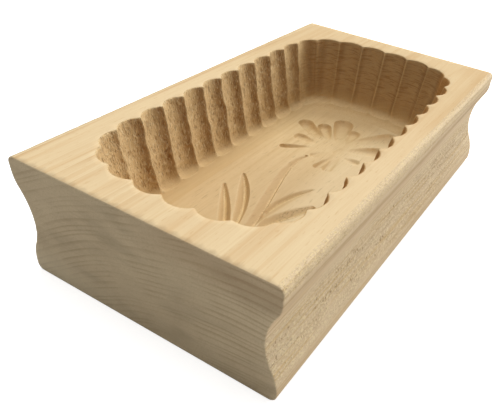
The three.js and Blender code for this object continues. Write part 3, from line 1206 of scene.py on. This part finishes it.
@dataclass(frozen=True)
class Figure:
    """The sockets of the wood's own figure, which all finishes share."""

    place: Socket
    ring: Socket
    streak: Socket
    fibre: Socket
    fleck: Socket


@dataclass(frozen=True)
class Maple:
    """Maple's figure, drawn as a solid pattern so that it runs on over edges and into cuts.

    Growth rings about 2 mm wide stand round a pith far below the block. They show as faint arcs on the ends
    and as thin tan lines along the top. Real fibres are too fine to show and are drawn about 0.5 mm wide.
    A pair of numbers says where in a year or in a pattern a trait starts to show and where it is full.
    """

    pith: Triple = (0, -45, -110)
    ring_width: float = 2.1
    ring_drift: float = 6.0
    year_drift: float = 2.6
    year_pace: float = 0.31
    late_wood: Pair = (0.45, 0.93)
    year_end: Pair = (1.0, 0.94)
    ring_shown: Pair = (0.3, 0.65)
    fleck_shown: Pair = (0.62, 0.72)
    drift_cell: Triple = (260, 55, 40)
    presence_cell: Triple = (70, 22, 22)
    streak_cell: Triple = (95, 8, 6)
    fibre_cell: Triple = (16, 0.5, 0.5)
    fleck_cell: Triple = (3.5, 0.55, 0.55)

    def figure(self, recipe: Recipe) -> Figure:
        """Adds the figure's nodes.

        Args:
            recipe: The material that they go into.

        Returns:
            The sockets that carry the figure.
        """
        add = recipe.add
        object_place = add("TexCoord", out="Object")
        place = add("VectorMath", {0: object_place, "Scale": 1 / MM}, operation="SCALE")
        cells = (self.drift_cell, self.presence_cell, self.streak_cell, self.fibre_cell, self.fleck_cell)
        drift, presence, streak, fibre, fleck = (recipe.pattern(place, cell) for cell in cells)
        centred = add("Math", {0: drift, 1: 0.5}, operation="SUBTRACT")
        offset = add("VectorMath", {0: place, 1: self.pith}, operation="SUBTRACT")
        flat = add("VectorMath", {0: offset, 1: (0.0, 1.0, 1.0)}, operation="MULTIPLY")
        radius = add("VectorMath", {0: flat}, "Value", operation="LENGTH")
        bent = add("Math", {0: centred, 1: self.ring_drift, 2: radius}, operation="MULTIPLY_ADD")
        years = add("Math", {0: bent, 1: self.ring_width}, operation="DIVIDE")
        slow = add("Math", {0: years, 1: self.year_pace}, operation="MULTIPLY")
        uneven = add("TexNoise", {"W": slow, "Scale": 1.0, "Detail": 1.0}, noise_dimensions="1D")
        years = add("Math", {0: uneven, 1: self.year_drift, 2: years}, operation="MULTIPLY_ADD")
        season = add("Math", {0: years}, operation="FRACT")
        late, early, present, flecked = (
            add("MapRange", {"Value": value, 1: start, 2: stop}, **SMOOTH)
            for value, (start, stop) in (
                (season, self.late_wood),
                (season, self.year_end),
                (presence, self.ring_shown),
                (fleck, self.fleck_shown),
            )
        )
        ring = add("Math", {0: late, 1: early}, operation="MULTIPLY")
        ring = add("Math", {0: ring, 1: present}, operation="MULTIPLY")
        return Figure(place, ring, streak, fibre, flecked)


@dataclass(frozen=True)
class Span:
    """The stretch of one axis, in millimetres, over which marks lie, with a soft start and end."""

    axis: str
    low: float
    high: float
    fade: float = 3

    def share(self, recipe: Recipe, place: Socket) -> Socket:
        """Adds the nodes that tell where the span is.

        Args:
            recipe: The material that they go into.
            place: The position in millimetres.

        Returns:
            The socket that says how far inside the span a place is, from 0 to 1.
        """
        value = recipe.add("SeparateXYZ", {0: place}, self.axis)
        above, below = (
            recipe.add("MapRange", {"Value": value, 1: start, 2: stop}, **SMOOTH)
            for start, stop in ((self.low, self.low + self.fade), (self.high, self.high - self.fade))
        )
        return recipe.add("Math", {0: above, 1: below}, operation="MULTIPLY")


@dataclass(frozen=True)
class Marks:
    """Tool marks or torn fibres: spots of a pattern above a level, which are sunk into the wood and darker.

    cell is the size of a spot, level the pattern's value at which it starts and spread how soft its edge is.
    Without a cell the mark is an even tone. clump is the size of the groups that the spots stand in, and the
    spans say where they lie. A tint stands in for the wood's deep tone, and a depth below 0 raises the spots.
    """

    cell: Triple | None
    level: float
    spread: float
    depth: float
    darkness: float
    spans: tuple[Span, ...] = ()
    tint: str | None = None
    detail: float = 2.0
    clump: Triple | None = None
    clump_level: float = 0.5
    clump_spread: float = 0.1

    def lay(self, recipe: Recipe, place: Socket) -> Socket:
        """Adds the marks' nodes.

        Args:
            recipe: The material that they go into.
            place: The position in millimetres.

        Returns:
            The socket that says how strong the mark is, from 0 to 1.
        """
        found = [span.share(recipe, place) for span in self.spans]
        for cell, level, spread, detail in (
            (self.cell, self.level, self.spread, self.detail),
            (self.clump, self.clump_level, self.clump_spread, 2),
        ):
            if cell:
                spots = {"Value": recipe.pattern(place, cell, detail), 1: level, 2: level + spread}
                found.append(recipe.add("MapRange", spots, **SMOOTH))
        strong = found[0]
        for limit in found[1:]:
            strong = recipe.add("Math", {0: strong, 1: limit}, operation="MULTIPLY")
        return strong


def tone(strength: float, tint: str, *spans: Span) -> Marks:
    """An even tint over the stretch where all of some spans meet."""
    return Marks(None, 0, 0, 0, strength, spans, tint)


@dataclass(frozen=True)
class MapleFinish:
    """Bare maple as one way of working leaves it: its colours, how strong the figure shows, and its marks.

    worn says how pale its ridges are rubbed, hollow_shade how dark the painted shade in its hollow corners is
    and keel_highlight how pale the painted highlight along the keels of its cuts is. end_grain says how dark
    the wood is where its fibres are cut across, sloped_shade how tan the painted shade on the sloping sides
    of the cuts is, and torn how dark the painted shade is on the sides that face back and aside, away from
    the light. foot holds the colours that take over towards the cavity's floor, over the heights of
    foot_span. The pairs after them say between which values of slope or bend each trait comes in.
    """

    pale: str
    tan: str
    deep: str
    ring: float
    streak: float
    fibre: float
    roughness: float
    fibre_depth: float = 0.04
    fleck: float = 0.2
    marks: tuple[Marks, ...] = ()
    worn: float = 0
    hollow_shade: float = 0
    keel_highlight: float = 0
    end_grain: float = 0
    sloped_shade: float = 0
    torn: float = 0
    foot: tuple[str, str] | None = None
    foot_span: Pair = (13.5, 23)
    cut_across: Pair = (0.3, 0.95)
    sloping: Pair = (0.99, 0.86)
    facing_back: Pair = (0, -0.55)
    facing_aside: Pair = (0.4, 0.75)
    ridge_bend: Pair = (0.51, 0.56)
    corner_bend: Pair = (0.49, 0.44)
    keel_bend: Pair = (0.48, 0.43)
    ior: float = 1.5
    gloss: float = 0.3

    def bare_colour(self, recipe: Recipe, figure: Figure, pale: str, tan: str) -> Socket:
        """Adds the nodes of the figure between two colours.

        Args:
            recipe: The material that they go into.
            figure: The figure of the wood.
            pale: The lightest colour.
            tan: The darkest colour.

        Returns:
            The socket of the colour.
        """
        share = 0.0
        for part, strength in (
            (figure.ring, self.ring),
            (figure.streak, self.streak),
            (figure.fibre, self.fibre),
            (figure.fleck, self.fleck),
        ):
            share = recipe.add("Math", {0: part, 1: strength, 2: share}, operation="MULTIPLY_ADD")
        ends = {0: share, 6: linear_colour(pale), 7: linear_colour(tan)}
        return recipe.add("Mix", ends, 2, data_type="RGBA")

    def wood_colour(self, recipe: Recipe, figure: Figure) -> Socket:
        """Adds the nodes of the wood's colour before any marks, with darker end grain and painted shade on
        sloping and back-facing sides.

        Args:
            recipe: The material that they go into.
            figure: The figure of the wood.

        Returns:
            The socket of the colour.
        """
        add = recipe.add
        colour = self.bare_colour(recipe, figure, self.pale, self.tan)
        for strength, tint, slopes in (
            (self.end_grain, self.deep, (("X", True, self.cut_across),)),
            # Painted shade: sloping sides are tinted tan.
            (self.sloped_shade, self.tan, (("Z", True, self.sloping),)),
            # Painted shade: sides facing back towards -X and partly aside are darkened.
            (self.torn, self.deep, (("X", False, self.facing_back), ("Y", True, self.facing_aside))),
        ):
            where = 1.0
            for axis, either_way, (start, stop) in slopes if strength else ():
                facing = add("SeparateXYZ", {0: add("NewGeometry", out="Normal")}, axis)
                if either_way:
                    facing = add("Math", {0: facing}, operation="ABSOLUTE")
                step = add("MapRange", {"Value": facing, 1: start, 2: stop}, **SMOOTH)
                where = add("Math", {0: where, 1: step}, operation="MULTIPLY")
            if strength:
                colour = recipe.tinted(colour, tint, where, strength)
        if self.foot:
            start, stop = self.foot_span
            height = add("SeparateXYZ", {0: figure.place}, "Z")
            high = add("MapRange", {"Value": height, 1: start, 2: stop}, **SMOOTH)
            low_colour = self.bare_colour(recipe, figure, *self.foot)
            colour = add("Mix", {0: high, 6: low_colour, 7: colour}, 2, data_type="RGBA")
        return colour

    def use(self, recipe: Recipe, colour: Socket) -> Socket:
        """Adds ridges rubbed pale by wear, painted shade in hollow corners and a painted highlight along the
        keels of cuts.

        Args:
            recipe: The material that they go into.
            colour: The colour without them.

        Returns:
            The socket of the colour with them.
        """
        bend = recipe.add("NewGeometry", out="Pointiness")
        for strength, tint, (start, stop) in (
            (self.worn, self.pale, self.ridge_bend),
            # Painted shade: hollow corners are darkened towards the deep tone.
            (self.hollow_shade, self.deep, self.corner_bend),
            # Painted highlight: the keels of the cuts are paled.
            (self.keel_highlight, self.pale, self.keel_bend),
        ):
            if strength:
                where = recipe.add("MapRange", {"Value": bend, 1: start, 2: stop}, **SMOOTH)
                colour = recipe.tinted(colour, tint, where, strength)
        return colour

    def build(self, name: str, wood: Maple) -> bpy.types.Material:
        """Builds the material.

        Args:
            name: The material's name.
            wood: The figure of the wood.

        Returns:
            The material.
        """
        material = bpy.data.materials.new(name)
        recipe = Recipe(material)
        add = recipe.add
        figure = wood.figure(recipe)
        colour = self.wood_colour(recipe, figure)
        height = add("Math", {0: figure.fibre, 1: self.fibre_depth}, operation="MULTIPLY")
        for mark in self.marks:
            spot = mark.lay(recipe, figure.place)
            colour = recipe.tinted(colour, mark.tint or self.deep, spot, mark.darkness)
            height = add("Math", {0: spot, 1: -mark.depth, 2: height}, operation="MULTIPLY_ADD")
        surface = {
            "Base Color": self.use(recipe, colour),
            "Roughness": self.roughness,
            "IOR": self.ior,
            "Specular IOR Level": self.gloss,
            "Normal": add("Bump", {"Strength": 1.0, "Distance": MM, "Height": height}),
        }
        add("OutputMaterial", {"Surface": add("BsdfPrincipled", surface)})
        return material


# Stretches of the block that hold marks, in millimetres.
ROUGH_SIDES = Span("X", -100, 72, 30)
ROUGH_LEAF = (Span("X", -40, -13, 3), Span("Y", -19, -9, 1.5), Span("Z", 10, 13.85, 0.3))
FAR_END = Span("X", 55, 200, 15)
TOP_EDGE = Span("Z", 39.5, 47, 2)
FINISHES = {
    # Planed maple is closed and even, so that it is the palest face and has the softest sheen.
    Finish.PLANED: MapleFinish(
        pale="EEDAB1",
        tan="C99F6C",
        deep="8A6238",
        ring=0.4,
        streak=0.3,
        fibre=0.3,
        roughness=0.7,
        fibre_depth=0.02,
        gloss=0.05,
        marks=(
            Marks((130, 2.4, 2.4), 0.52, 0.1, 0, 0.2, (), "CFA26B", detail=3),
            # Painted shade: the top darkens towards the far end.
            tone(0.3, "C2A578", Span("X", -20, 400, 90)),
        ),
    ),
    # Sawn end grain drinks in the light: greyer and darker, with rings, and fine saw lines across it.
    Finish.SAWN: MapleFinish(
        pale="DFCBA6",
        tan="AF9672",
        deep="655036",
        ring=0.38,
        streak=0.34,
        fibre=0.34,
        fleck=0.1,
        roughness=0.75,
        fibre_depth=0.03,
        marks=(
            Marks((1.0, 0.5, 0.5), 0.5, 0.3, 0.03, 0.2),
            Marks((1.0, 9, 0.35), 0.45, 0.4, 0.02, 0.12),
            Marks((9, 26, 9), 0.45, 0.35, 0, 0.26),
            tone(0.35, "EFE0BE", Span("Y", 0, 90, 40), Span("Z", -20, 16, 14)),
            tone(0.2, "96683C", Span("Y", -90, 10, 30), Span("Z", 30, 90, 12)),
        ),
    ),
    # A moulding cutter pulled fibres out of the cove and the top edge, and left the lip smooth.
    Finish.MOULDED: MapleFinish(
        pale="EAD5B0",
        tan="BD9C72",
        deep="7F6038",
        ring=0.4,
        streak=0.45,
        fibre=0.45,
        roughness=0.65,
        marks=(
            Marks((90, 3, 3), 0.3, 0.3, 0, 0.55, (Span("Z", 28.5, 40, 1.5),), "B8986A"),
            Marks((24, 0.8, 1.2), 0.48, 0.3, 0.02, 0.4, (Span("Z", 25, 41),), "9E7C4C"),
            Marks((1.3, 0.6, 0.6), 0.46, 0.18, -0.1, 0.6, (Span("Z", 4, 27, 5),), "EDDAAE"),
            Marks((0.9, 0.4, 0.4), 0.54, 0.16, 0.1, 0.3, (Span("Z", 4, 26, 4),), clump=(14, 3, 3)),
            Marks((0.8, 0.9, 1.6), 0.56, 0.1, 0.13, 0.7, (Span("Z", 9, 23, 3),), "946838", clump=(9, 2, 1.8)),
            Marks((0.6, 0.45, 0.45), 0.45, 0.2, -0.03, 0.54, (TOP_EDGE,), "EED8A0"),
            Marks((0.9, 0.6, 0.6), 0.56, 0.12, 0.04, 0.3, (TOP_EDGE,), "A88444"),
            Marks((45, 0.8, 0.9), 0.52, 0.16, 0, 0.42, (Span("Z", 2, 30),), "CAA562"),
        ),
    ),
    # The flutes were cut across the fibres, which stand torn and fuzzy and look brown. Painted shade darkens
    # their hollows and the sides that face away from the light.
    Finish.FLUTED: MapleFinish(
        pale="E2C897",
        tan="B08247",
        deep="78470E",
        ring=0.1,
        streak=0.3,
        fibre=0.3,
        roughness=0.8,
        fibre_depth=0.05,
        marks=(
            # Painted shade: the lower walls are darker towards the near end.
            tone(0.56, "BC9A68", Span("X", -300, 45, 60), Span("Z", 5, 22, 7)),
            # Painted light: the lower walls are paler towards the far end.
            tone(0.28, "FFE0AC", Span("X", 40, 300, 20), Span("Z", 5, 20, 7)),
            Marks((0.8, 0.8, 1.8), 0.5, 0.2, -0.1, 0.42, (ROUGH_SIDES, Span("Z", 18, 60, 4)), "E6D2A8"),
            Marks((0.6, 0.6, 1.8), 0.52, 0.22, 0.18, 0.4, (Span("X", -100, 72, 24), Span("Z", 15, 60, 5))),
            Marks((2.2, 2.2, 4.0), 0.5, 0.24, 0.25, 0.38, (Span("X", -100, 70, 40), Span("Z", 15, 60, 6))),
            Marks((6, 6, 0.5), 0.5, 0.14, 0.03, 0.35, (FAR_END, Span("Z", 20, 60, 8))),
            Marks((1, 0.5, 0.8), 0.55, 0.15, -0.05, 0.3, (FAR_END,), "C99A58"),
            # Painted light: warm bounce light on the upper part of the wall at -Y.
            Marks((9, 9, 9), 0.2, 0.1, 0, 0.4, (Span("Y", -60, -29, 3), Span("Z", 30, 60, 8)), "D79A4C"),
        ),
        worn=0.5,
        # Painted shade darkens the flutes' hollow corners.
        hollow_shade=0.3,
        end_grain=0.4,
        # Painted shade on the flutes' flanks that face away from the light.
        torn=0.45,
        foot=("E8CE9C", "B68E54"),
    ),
    # The floor was cut along the fibres and is nearly as pale as the top, with tan streaks.
    Finish.CARVED: MapleFinish(
        pale="EDD6A4",
        tan="BC9052",
        deep="7D5527",
        ring=0.14,
        streak=0.35,
        fibre=0.4,
        roughness=0.62,
        marks=(
            # Painted shade: the floor is darker towards the near end.
            tone(0.52, "BEA074", Span("X", -300, 45, 60)),
            # Painted light: the floor is paler towards the far end, where the far wall shades it.
            tone(0.28, "FFE0AC", Span("X", 40, 300, 20)),
            # Painted light: the floor is paler along the -Y side, under the near wall.
            tone(0.4, "F8E4B8", Span("Y", -90, -3, 12)),
            Marks((5, 0.6, 0.6), 0.62, 0.12, 0.04, 0.25),
            Marks((1.1, 0.6, 0.6), 0.48, 0.16, 0.1, 0.35, ROUGH_LEAF),
        ),
        worn=0.2,
        # Painted highlight along the keels of the grooves.
        keel_highlight=0.8,
        # Painted shade tints the sloping walls of the cuts tan.
        sloped_shade=0.48,
    ),
}


@dataclass(frozen=True)
class Softbox:
    """A square soft light.

    Its bearing runs from +X towards +Y. It and the elevation are in degrees, the power is in watts, and the
    size and the distance are in metres.
    """

    name: str
    bearing: float
    elevation: float
    power: float
    size: float = 1.1
    distance: float = 2.2


@dataclass(frozen=True)
class Studio:
    """The pale floor, the soft lights and the camera at the photograph's viewing angle.

    The camera's place is in millimetres in the block's frame, and its turn is a rotation vector. The floor is
    in metres. It glows less near the block, so that the block's shadow shows there.
    """

    floor_size: float = 6.0
    paper: str = "E6E6E6"
    glow_span: Pair = (0.3, 1.2)
    glow: Pair = (0.7, 1.0)
    camera_place: Triple = (-171.3484, -94.123, 132.4333)
    camera_turn: Triple = (2.0886, -1.119, 0.6096)
    focal_length: float = 38.85
    sensor_width: float = 36
    nearest_seen: float = 0.01
    shift: Pair = (-0.09281, 0.13437)
    sky: float = 0.28
    lamps: tuple[Softbox, ...] = (
        Softbox("low_window", -33, 22, 26.2),
        Softbox("high_window", 12, 46, 25),
        Softbox("skylight", 0, 86, 15.3),
    )

    def floor(self) -> bpy.types.Object:
        """Builds the floor, which is white to the camera but keeps the block's shadow.

        Returns:
            The floor.
        """
        half = self.floor_size / 2
        corners = [(x * half, y * half, 0) for x, y in ((-1, -1), (1, -1), (1, 1), (-1, 1))]
        mesh = bpy.data.meshes.new("floor")
        mesh.from_pydata(corners, [], [(0, 1, 2, 3)])
        floor = bpy.data.objects.new("floor", mesh)
        bpy.context.scene.collection.objects.link(floor)
        # Matt white paper scatters all light evenly.
        paper_look = bpy.data.materials.new("white_paper")
        add = Recipe(paper_look).add
        paper = add("BsdfDiffuse", {"Color": linear_colour(self.paper)})
        place = add("NewGeometry", out="Position")
        away = add("VectorMath", {0: place}, "Value", operation="LENGTH")
        strength = add("MapRange", {"Value": away, **dict(enumerate((*self.glow_span, *self.glow), start=1))})
        glow = add("Emission", {"Color": WHITE, "Strength": strength})
        lifted = add("AddShader", {0: paper, 1: glow})
        seen = add("LightPath", out="Is Camera Ray")
        add("OutputMaterial", {"Surface": add("MixShader", {0: seen, 1: paper, 2: lifted})})
        mesh.materials.append(paper_look)
        return floor

    def sky_light(self) -> None:
        """Lights the scene evenly from all round, from a sky that is white to the camera."""
        world = bpy.data.worlds.new("studio")
        add = Recipe(world).add
        light, white = (add("Background", {"Color": WHITE, "Strength": power}) for power in (self.sky, 1.0))
        seen = add("LightPath", out="Is Camera Ray")
        add("OutputWorld", {"Surface": add("MixShader", {0: seen, 1: light, 2: white})})
        bpy.context.scene.world = world

    def hang(self, lamp: Softbox) -> None:
        """Hangs a soft light so that it faces the block.

        Args:
            lamp: The light.
        """
        light = bpy.data.lights.new(lamp.name, "AREA")
        light.size = lamp.size
        light.energy = lamp.power
        hung = bpy.data.objects.new(lamp.name, light)
        turned, raised = math.radians(lamp.bearing), math.radians(lamp.elevation)
        flat = Vector((math.cos(turned), math.sin(turned), 0)) * math.cos(raised)
        hung.location = (flat + Vector((0, 0, math.sin(raised)))) * lamp.distance
        hung.rotation_euler = (-hung.location).to_track_quat("-Z", "Y").to_euler()
        bpy.context.scene.collection.objects.link(hung)

    def camera(self) -> None:
        """Sets the camera up where the photograph was taken from."""
        data = bpy.data.cameras.new("camera")
        data.sensor_width = self.sensor_width
        data.lens = self.focal_length
        data.shift_x, data.shift_y = self.shift
        data.clip_start = self.nearest_seen
        turn = Vector(self.camera_turn)
        seen = Matrix.Rotation(turn.length, 3, turn.normalized())
        right, down, forward = seen
        world = Matrix((right, -down, -forward)).transposed().to_4x4()
        world.translation = Vector(self.camera_place) * MM
        camera = bpy.data.objects.new("camera", data)
        camera.matrix_world = world
        bpy.context.scene.collection.objects.link(camera)
        bpy.context.scene.camera = camera

    def build(self) -> bpy.types.Object:
        """Sets the whole studio up.

        Returns:
            The floor.
        """
        self.sky_light()
        for lamp in self.lamps:
            self.hang(lamp)
        self.camera()
        bpy.context.scene.view_settings.view_transform = "Standard"
        return self.floor()


def main() -> None:
    """Builds the block, dresses it and sets up the studio."""
    logging.basicConfig(level=logging.INFO, format="%(name)s: %(message)s")
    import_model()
    block = CarvedBlock().build()
    wood = Maple()
    for finish in Finish:
        block.data.materials.append(FINISHES[finish].build(f"{finish.name.lower()}_maple", wood))
    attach(block, "root")
    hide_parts("mould_block")
    LOG.info("%s: size %s m", block.name, [round(side, 4) for side in block.dimensions])
    floor = Studio().build()
    LOG.info("%s: %.1f m across", floor.name, floor.dimensions.x)


if __name__ == "__main__":
    main()
